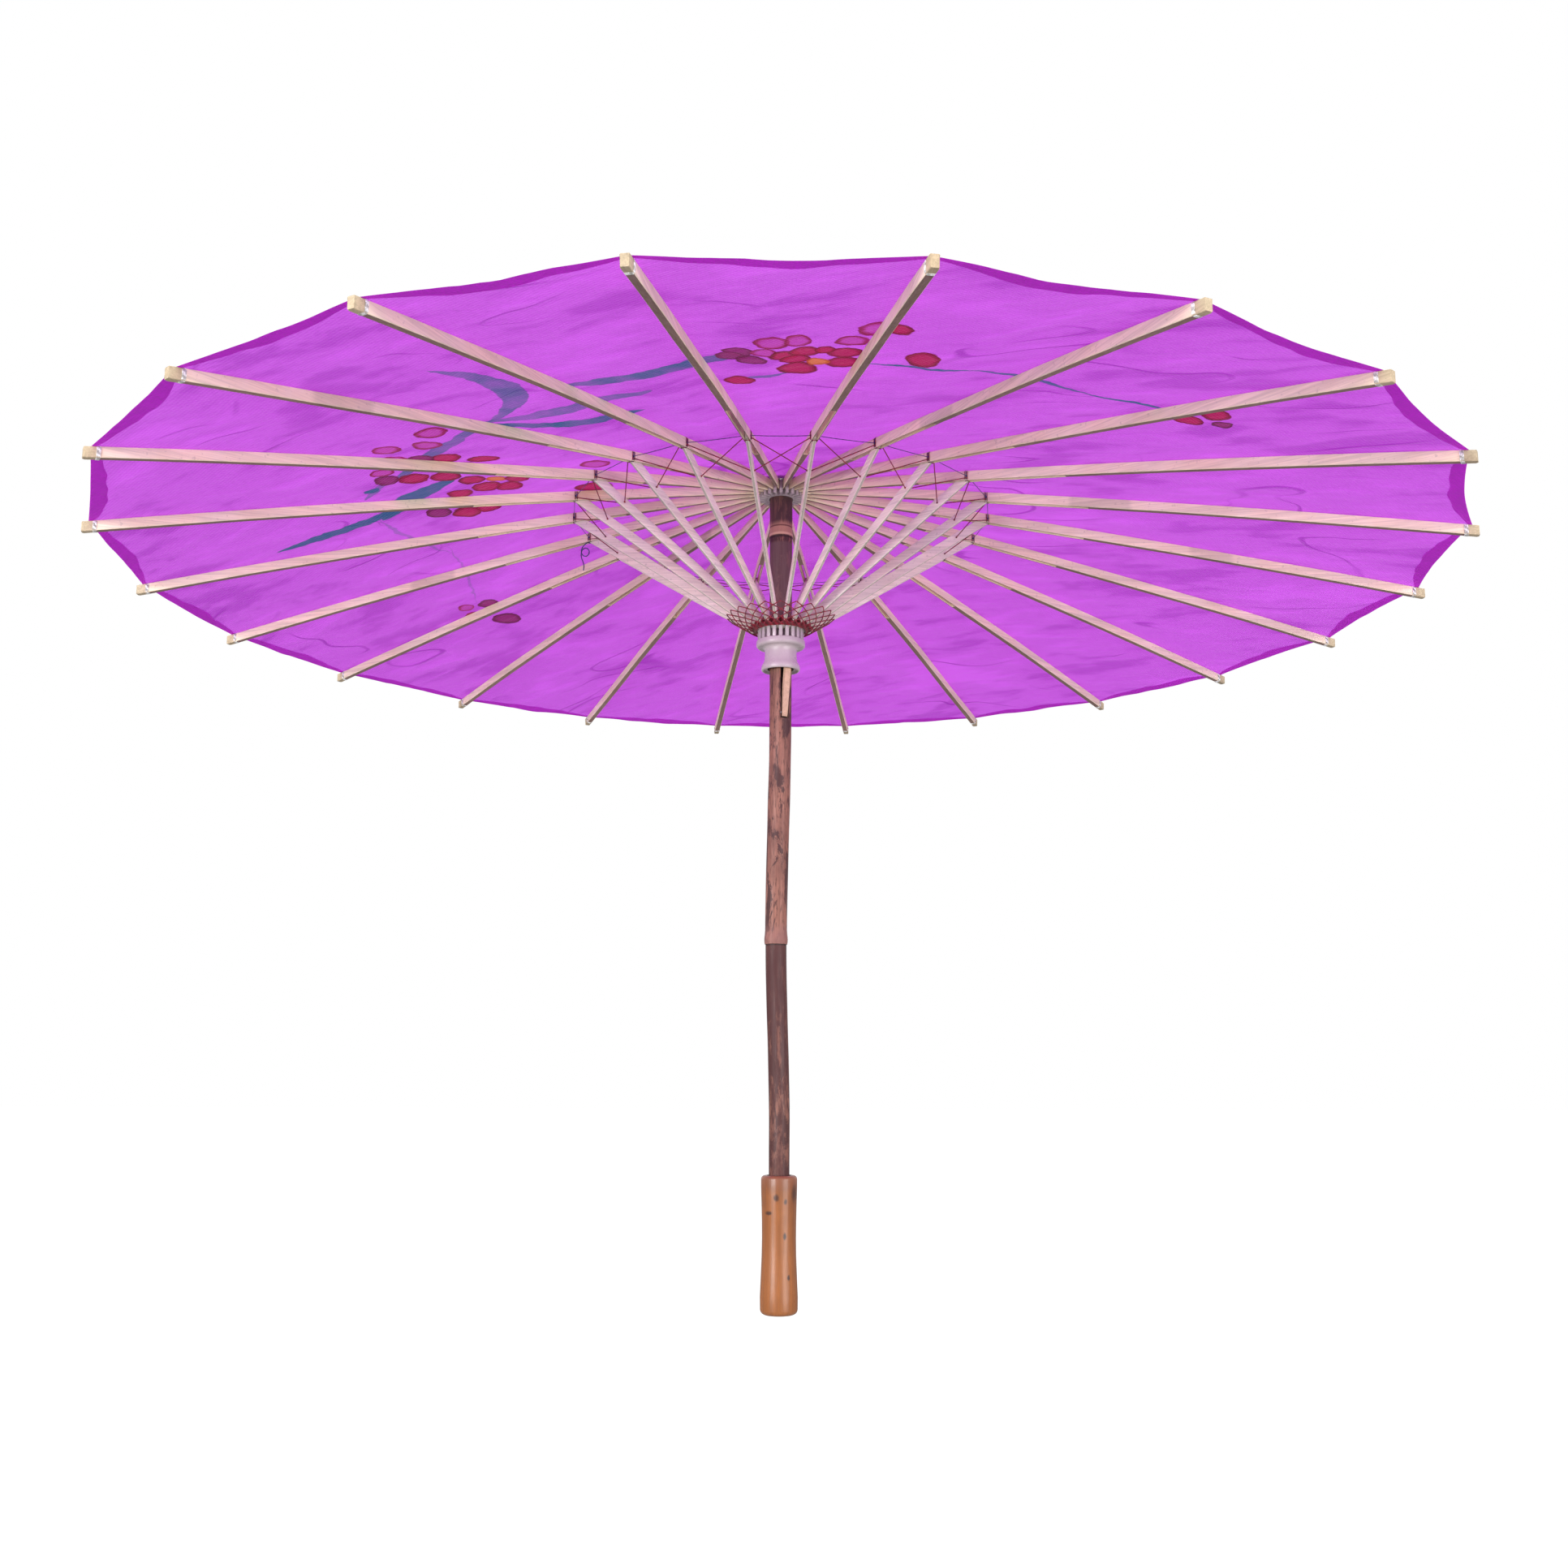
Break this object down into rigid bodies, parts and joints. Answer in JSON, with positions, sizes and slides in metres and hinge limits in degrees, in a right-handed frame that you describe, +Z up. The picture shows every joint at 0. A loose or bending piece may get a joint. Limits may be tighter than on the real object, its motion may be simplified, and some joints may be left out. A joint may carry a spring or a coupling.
{
  "type": "parasol",
  "caption": "Open hand parasol: bamboo shaft and waisted wooden handle, slotted hub and sliding runner, split-bamboo ribs and stretchers, scalloped painted cloth canopy and a cane catch.",
  "frame": {"origin": "centre of the handle's flat bottom face", "axes": "+Z up along the shaft towards the canopy; -Y towards the side with the widest view of the underside; +X to the right of it"},
  "size_m": [0.84, 0.832, 0.548],
  "materials": {
    "bamboo": "mottled, scorched and lightly varnished bamboo",
    "handle_wood": "varnished turned wood with dark knots",
    "rib_bamboo": "split bamboo, smooth and pale",
    "stretcher_bamboo": "thin pale bamboo strip",
    "catch_wood": "bare pale cane",
    "white_plastic": "moulded off-white plastic",
    "wire": "thin drawn wire",
    "violet_fabric": "thin translucent violet cloth with painted flowers",
    "thread": "fine blue sewing thread"
  },
  "bodies": {
    "frame": {"shaft": "bamboo", "handle": "handle_wood", "hub": "white_plastic", "hub_wire": "wire", "hub_pin": "catch_wood", "catch_pin": "wire", "canopy": "violet_fabric", "crown_patch": "violet_fabric", "top_knob": "handle_wood"},
    "runner": {"runner": "white_plastic", "runner_wire": "wire"},
    "catch": {"catch": "catch_wood"},
    "rib_00": {"rib_00": "rib_bamboo"},
    "stretcher_00": {"stretcher_00": "stretcher_bamboo"},
    "rib_01": {"rib_01": "rib_bamboo"},
    "stretcher_01": {"stretcher_01": "stretcher_bamboo"},
    "rib_02": {"rib_02": "rib_bamboo"},
    "stretcher_02": {"stretcher_02": "stretcher_bamboo"},
    "rib_03": {"rib_03": "rib_bamboo"},
    "stretcher_03": {"stretcher_03": "stretcher_bamboo"},
    "rib_04": {"rib_04": "rib_bamboo"},
    "stretcher_04": {"stretcher_04": "stretcher_bamboo"},
    "rib_05": {"rib_05": "rib_bamboo"},
    "stretcher_05": {"stretcher_05": "stretcher_bamboo"},
    "rib_06": {"rib_06": "rib_bamboo"},
    "stretcher_06": {"stretcher_06": "stretcher_bamboo"},
    "rib_07": {"rib_07": "rib_bamboo"},
    "stretcher_07": {"stretcher_07": "stretcher_bamboo"},
    "rib_08": {"rib_08": "rib_bamboo"},
    "stretcher_08": {"stretcher_08": "stretcher_bamboo"},
    "rib_09": {"rib_09": "rib_bamboo"},
    "stretcher_09": {"stretcher_09": "stretcher_bamboo"},
    "rib_10": {"rib_10": "rib_bamboo"},
    "stretcher_10": {"stretcher_10": "stretcher_bamboo"},
    "rib_11": {"rib_11": "rib_bamboo"},
    "stretcher_11": {"stretcher_11": "stretcher_bamboo"},
    "rib_12": {"rib_12": "rib_bamboo"},
    "stretcher_12": {"stretcher_12": "stretcher_bamboo"},
    "rib_13": {"rib_13": "rib_bamboo"},
    "stretcher_13": {"stretcher_13": "stretcher_bamboo"},
    "rib_14": {"rib_14": "rib_bamboo"},
    "stretcher_14": {"stretcher_14": "stretcher_bamboo"},
    "rib_15": {"rib_15": "rib_bamboo"},
    "stretcher_15": {"stretcher_15": "stretcher_bamboo"},
    "rib_16": {"rib_16": "rib_bamboo", "thread_tail": "thread"},
    "stretcher_16": {"stretcher_16": "stretcher_bamboo"},
    "rib_17": {"rib_17": "rib_bamboo"},
    "stretcher_17": {"stretcher_17": "stretcher_bamboo"},
    "rib_18": {"rib_18": "rib_bamboo"},
    "stretcher_18": {"stretcher_18": "stretcher_bamboo"},
    "rib_19": {"rib_19": "rib_bamboo"},
    "stretcher_19": {"stretcher_19": "stretcher_bamboo"},
    "rib_20": {"rib_20": "rib_bamboo"},
    "stretcher_20": {"stretcher_20": "stretcher_bamboo"},
    "rib_21": {"rib_21": "rib_bamboo"},
    "stretcher_21": {"stretcher_21": "stretcher_bamboo"}
  },
  "joints": [
    {"name": "runner_slide", "type": "slide", "parent": "frame", "child": "runner", "axis": [0, 0, -1], "range_m": [0, 0.17362], "deforming": ["canopy", "catch", "thread_tail"]},
    {"name": "catch_press", "type": "hinge", "parent": "frame", "child": "catch", "pos_m": [0.0022, -0.00381, 0.369], "axis": [-0.866, -0.5, 0], "range_deg": [0, 7], "stiffness_Nm_per_rad": 0.05, "springref_deg": -2.86},
    {"name": "rib_00_hinge", "type": "hinge", "parent": "frame", "child": "rib_00", "pos_m": [-0.00178, -0.01237, 0.52], "axis": [0.9898, -0.1423, 0], "range_deg": [0, 77.8]},
    {"name": "stretcher_00_hinge", "type": "hinge", "parent": "runner", "child": "stretcher_00", "pos_m": [-0.00182, -0.01267, 0.4235], "axis": [-0.9898, 0.1423, 0], "range_deg": [0, 54.91]},
    {"name": "rib_01_hinge", "type": "hinge", "parent": "frame", "child": "rib_01", "pos_m": [0.00178, -0.01237, 0.52], "axis": [0.9898, 0.1423, 0], "range_deg": [0, 77.8]},
    {"name": "stretcher_01_hinge", "type": "hinge", "parent": "runner", "child": "stretcher_01", "pos_m": [0.00182, -0.01267, 0.4235], "axis": [-0.9898, -0.1423, 0], "range_deg": [0, 54.91]},
    {"name": "rib_02_hinge", "type": "hinge", "parent": "frame", "child": "rib_02", "pos_m": [0.00519, -0.01137, 0.52], "axis": [0.9096, 0.4154, 0], "range_deg": [0, 77.8]},
    {"name": "stretcher_02_hinge", "type": "hinge", "parent": "runner", "child": "stretcher_02", "pos_m": [0.00532, -0.01164, 0.4235], "axis": [-0.9096, -0.4154, 0], "range_deg": [0, 54.91]},
    {"name": "rib_03_hinge", "type": "hinge", "parent": "frame", "child": "rib_03", "pos_m": [0.00819, -0.00945, 0.52], "axis": [0.7557, 0.6549, 0], "range_deg": [0, 77.8]},
    {"name": "stretcher_03_hinge", "type": "hinge", "parent": "runner", "child": "stretcher_03", "pos_m": [0.00838, -0.00967, 0.4235], "axis": [-0.7557, -0.6549, 0], "range_deg": [0, 54.91]},
    {"name": "rib_04_hinge", "type": "hinge", "parent": "frame", "child": "rib_04", "pos_m": [0.01052, -0.00676, 0.52], "axis": [0.5406, 0.8413, 0], "range_deg": [0, 77.8]},
    {"name": "stretcher_04_hinge", "type": "hinge", "parent": "runner", "child": "stretcher_04", "pos_m": [0.01077, -0.00692, 0.4235], "axis": [-0.5406, -0.8413, 0], "range_deg": [0, 54.91]},
    {"name": "rib_05_hinge", "type": "hinge", "parent": "frame", "child": "rib_05", "pos_m": [0.01199, -0.00352, 0.52], "axis": [0.2817, 0.9595, 0], "range_deg": [0, 77.8]},
    {"name": "stretcher_05_hinge", "type": "hinge", "parent": "runner", "child": "stretcher_05", "pos_m": [0.01228, -0.00361, 0.4235], "axis": [-0.2817, -0.9595, 0], "range_deg": [0, 54.91]},
    {"name": "rib_06_hinge", "type": "hinge", "parent": "frame", "child": "rib_06", "pos_m": [0.0125, 0, 0.52], "axis": [0, 1, 0], "range_deg": [0, 77.8]},
    {"name": "stretcher_06_hinge", "type": "hinge", "parent": "runner", "child": "stretcher_06", "pos_m": [0.0128, 0, 0.4235], "axis": [0, -1, 0], "range_deg": [0, 54.91]},
    {"name": "rib_07_hinge", "type": "hinge", "parent": "frame", "child": "rib_07", "pos_m": [0.01199, 0.00352, 0.52], "axis": [-0.2817, 0.9595, 0], "range_deg": [0, 77.8]},
    {"name": "stretcher_07_hinge", "type": "hinge", "parent": "runner", "child": "stretcher_07", "pos_m": [0.01228, 0.00361, 0.4235], "axis": [0.2817, -0.9595, 0], "range_deg": [0, 54.91]},
    {"name": "rib_08_hinge", "type": "hinge", "parent": "frame", "child": "rib_08", "pos_m": [0.01052, 0.00676, 0.52], "axis": [-0.5406, 0.8413, 0], "range_deg": [0, 77.8]},
    {"name": "stretcher_08_hinge", "type": "hinge", "parent": "runner", "child": "stretcher_08", "pos_m": [0.01077, 0.00692, 0.4235], "axis": [0.5406, -0.8413, 0], "range_deg": [0, 54.91]},
    {"name": "rib_09_hinge", "type": "hinge", "parent": "frame", "child": "rib_09", "pos_m": [0.00819, 0.00945, 0.52], "axis": [-0.7557, 0.6549, 0], "range_deg": [0, 77.8]},
    {"name": "stretcher_09_hinge", "type": "hinge", "parent": "runner", "child": "stretcher_09", "pos_m": [0.00838, 0.00967, 0.4235], "axis": [0.7557, -0.6549, 0], "range_deg": [0, 54.91]},
    {"name": "rib_10_hinge", "type": "hinge", "parent": "frame", "child": "rib_10", "pos_m": [0.00519, 0.01137, 0.52], "axis": [-0.9096, 0.4154, 0], "range_deg": [0, 77.8]},
    {"name": "stretcher_10_hinge", "type": "hinge", "parent": "runner", "child": "stretcher_10", "pos_m": [0.00532, 0.01164, 0.4235], "axis": [0.9096, -0.4154, 0], "range_deg": [0, 54.91]},
    {"name": "rib_11_hinge", "type": "hinge", "parent": "frame", "child": "rib_11", "pos_m": [0.00178, 0.01237, 0.52], "axis": [-0.9898, 0.1423, 0], "range_deg": [0, 77.8]},
    {"name": "stretcher_11_hinge", "type": "hinge", "parent": "runner", "child": "stretcher_11", "pos_m": [0.00182, 0.01267, 0.4235], "axis": [0.9898, -0.1423, 0], "range_deg": [0, 54.91]},
    {"name": "rib_12_hinge", "type": "hinge", "parent": "frame", "child": "rib_12", "pos_m": [-0.00178, 0.01237, 0.52], "axis": [-0.9898, -0.1423, 0], "range_deg": [0, 77.8]},
    {"name": "stretcher_12_hinge", "type": "hinge", "parent": "runner", "child": "stretcher_12", "pos_m": [-0.00182, 0.01267, 0.4235], "axis": [0.9898, 0.1423, 0], "range_deg": [0, 54.91]},
    {"name": "rib_13_hinge", "type": "hinge", "parent": "frame", "child": "rib_13", "pos_m": [-0.00519, 0.01137, 0.52], "axis": [-0.9096, -0.4154, 0], "range_deg": [0, 77.8]},
    {"name": "stretcher_13_hinge", "type": "hinge", "parent": "runner", "child": "stretcher_13", "pos_m": [-0.00532, 0.01164, 0.4235], "axis": [0.9096, 0.4154, 0], "range_deg": [0, 54.91]},
    {"name": "rib_14_hinge", "type": "hinge", "parent": "frame", "child": "rib_14", "pos_m": [-0.00819, 0.00945, 0.52], "axis": [-0.7557, -0.6549, 0], "range_deg": [0, 77.8]},
    {"name": "stretcher_14_hinge", "type": "hinge", "parent": "runner", "child": "stretcher_14", "pos_m": [-0.00838, 0.00967, 0.4235], "axis": [0.7557, 0.6549, 0], "range_deg": [0, 54.91]},
    {"name": "rib_15_hinge", "type": "hinge", "parent": "frame", "child": "rib_15", "pos_m": [-0.01052, 0.00676, 0.52], "axis": [-0.5406, -0.8413, 0], "range_deg": [0, 77.8]},
    {"name": "stretcher_15_hinge", "type": "hinge", "parent": "runner", "child": "stretcher_15", "pos_m": [-0.01077, 0.00692, 0.4235], "axis": [0.5406, 0.8413, 0], "range_deg": [0, 54.91]},
    {"name": "rib_16_hinge", "type": "hinge", "parent": "frame", "child": "rib_16", "pos_m": [-0.01199, 0.00352, 0.52], "axis": [-0.2817, -0.9595, 0], "range_deg": [0, 77.8]},
    {"name": "stretcher_16_hinge", "type": "hinge", "parent": "runner", "child": "stretcher_16", "pos_m": [-0.01228, 0.00361, 0.4235], "axis": [0.2817, 0.9595, 0], "range_deg": [0, 54.91]},
    {"name": "rib_17_hinge", "type": "hinge", "parent": "frame", "child": "rib_17", "pos_m": [-0.0125, 0, 0.52], "axis": [0, -1, 0], "range_deg": [0, 77.8]},
    {"name": "stretcher_17_hinge", "type": "hinge", "parent": "runner", "child": "stretcher_17", "pos_m": [-0.0128, 0, 0.4235], "axis": [0, 1, 0], "range_deg": [0, 54.91]},
    {"name": "rib_18_hinge", "type": "hinge", "parent": "frame", "child": "rib_18", "pos_m": [-0.01199, -0.00352, 0.52], "axis": [0.2817, -0.9595, 0], "range_deg": [0, 77.8]},
    {"name": "stretcher_18_hinge", "type": "hinge", "parent": "runner", "child": "stretcher_18", "pos_m": [-0.01228, -0.00361, 0.4235], "axis": [-0.2817, 0.9595, 0], "range_deg": [0, 54.91]},
    {"name": "rib_19_hinge", "type": "hinge", "parent": "frame", "child": "rib_19", "pos_m": [-0.01052, -0.00676, 0.52], "axis": [0.5406, -0.8413, 0], "range_deg": [0, 77.8]},
    {"name": "stretcher_19_hinge", "type": "hinge", "parent": "runner", "child": "stretcher_19", "pos_m": [-0.01077, -0.00692, 0.4235], "axis": [-0.5406, 0.8413, 0], "range_deg": [0, 54.91]},
    {"name": "rib_20_hinge", "type": "hinge", "parent": "frame", "child": "rib_20", "pos_m": [-0.00819, -0.00945, 0.52], "axis": [0.7557, -0.6549, 0], "range_deg": [0, 77.8]},
    {"name": "stretcher_20_hinge", "type": "hinge", "parent": "runner", "child": "stretcher_20", "pos_m": [-0.00838, -0.00967, 0.4235], "axis": [-0.7557, 0.6549, 0], "range_deg": [0, 54.91]},
    {"name": "rib_21_hinge", "type": "hinge", "parent": "frame", "child": "rib_21", "pos_m": [-0.00519, -0.01137, 0.52], "axis": [0.9096, -0.4154, 0], "range_deg": [0, 77.8]},
    {"name": "stretcher_21_hinge", "type": "hinge", "parent": "runner", "child": "stretcher_21", "pos_m": [-0.00532, -0.01164, 0.4235], "axis": [-0.9096, 0.4154, 0], "range_deg": [0, 54.91]}
  ],
  "couplings": [
    {"joint": "rib_00_hinge", "follows": "runner_slide", "rad_per_m": 7.8208},
    {"joint": "stretcher_00_hinge", "follows": "runner_slide", "rad_per_m": 5.5199},
    {"joint": "rib_01_hinge", "follows": "runner_slide", "rad_per_m": 7.8208},
    {"joint": "stretcher_01_hinge", "follows": "runner_slide", "rad_per_m": 5.5199},
    {"joint": "rib_02_hinge", "follows": "runner_slide", "rad_per_m": 7.8208},
    {"joint": "stretcher_02_hinge", "follows": "runner_slide", "rad_per_m": 5.5199},
    {"joint": "rib_03_hinge", "follows": "runner_slide", "rad_per_m": 7.8208},
    {"joint": "stretcher_03_hinge", "follows": "runner_slide", "rad_per_m": 5.5199},
    {"joint": "rib_04_hinge", "follows": "runner_slide", "rad_per_m": 7.8208},
    {"joint": "stretcher_04_hinge", "follows": "runner_slide", "rad_per_m": 5.5199},
    {"joint": "rib_05_hinge", "follows": "runner_slide", "rad_per_m": 7.8208},
    {"joint": "stretcher_05_hinge", "follows": "runner_slide", "rad_per_m": 5.5199},
    {"joint": "rib_06_hinge", "follows": "runner_slide", "rad_per_m": 7.8208},
    {"joint": "stretcher_06_hinge", "follows": "runner_slide", "rad_per_m": 5.5199},
    {"joint": "rib_07_hinge", "follows": "runner_slide", "rad_per_m": 7.8208},
    {"joint": "stretcher_07_hinge", "follows": "runner_slide", "rad_per_m": 5.5199},
    {"joint": "rib_08_hinge", "follows": "runner_slide", "rad_per_m": 7.8208},
    {"joint": "stretcher_08_hinge", "follows": "runner_slide", "rad_per_m": 5.5199},
    {"joint": "rib_09_hinge", "follows": "runner_slide", "rad_per_m": 7.8208},
    {"joint": "stretcher_09_hinge", "follows": "runner_slide", "rad_per_m": 5.5199},
    {"joint": "rib_10_hinge", "follows": "runner_slide", "rad_per_m": 7.8208},
    {"joint": "stretcher_10_hinge", "follows": "runner_slide", "rad_per_m": 5.5199},
    {"joint": "rib_11_hinge", "follows": "runner_slide", "rad_per_m": 7.8208},
    {"joint": "stretcher_11_hinge", "follows": "runner_slide", "rad_per_m": 5.5199},
    {"joint": "rib_12_hinge", "follows": "runner_slide", "rad_per_m": 7.8208},
    {"joint": "stretcher_12_hinge", "follows": "runner_slide", "rad_per_m": 5.5199},
    {"joint": "rib_13_hinge", "follows": "runner_slide", "rad_per_m": 7.8208},
    {"joint": "stretcher_13_hinge", "follows": "runner_slide", "rad_per_m": 5.5199},
    {"joint": "rib_14_hinge", "follows": "runner_slide", "rad_per_m": 7.8208},
    {"joint": "stretcher_14_hinge", "follows": "runner_slide", "rad_per_m": 5.5199},
    {"joint": "rib_15_hinge", "follows": "runner_slide", "rad_per_m": 7.8208},
    {"joint": "stretcher_15_hinge", "follows": "runner_slide", "rad_per_m": 5.5199},
    {"joint": "rib_16_hinge", "follows": "runner_slide", "rad_per_m": 7.8208},
    {"joint": "stretcher_16_hinge", "follows": "runner_slide", "rad_per_m": 5.5199},
    {"joint": "rib_17_hinge", "follows": "runner_slide", "rad_per_m": 7.8208},
    {"joint": "stretcher_17_hinge", "follows": "runner_slide", "rad_per_m": 5.5199},
    {"joint": "rib_18_hinge", "follows": "runner_slide", "rad_per_m": 7.8208},
    {"joint": "stretcher_18_hinge", "follows": "runner_slide", "rad_per_m": 5.5199},
    {"joint": "rib_19_hinge", "follows": "runner_slide", "rad_per_m": 7.8208},
    {"joint": "stretcher_19_hinge", "follows": "runner_slide", "rad_per_m": 5.5199},
    {"joint": "rib_20_hinge", "follows": "runner_slide", "rad_per_m": 7.8208},
    {"joint": "stretcher_20_hinge", "follows": "runner_slide", "rad_per_m": 5.5199},
    {"joint": "rib_21_hinge", "follows": "runner_slide", "rad_per_m": 7.8208},
    {"joint": "stretcher_21_hinge", "follows": "runner_slide", "rad_per_m": 5.5199}
  ]
}
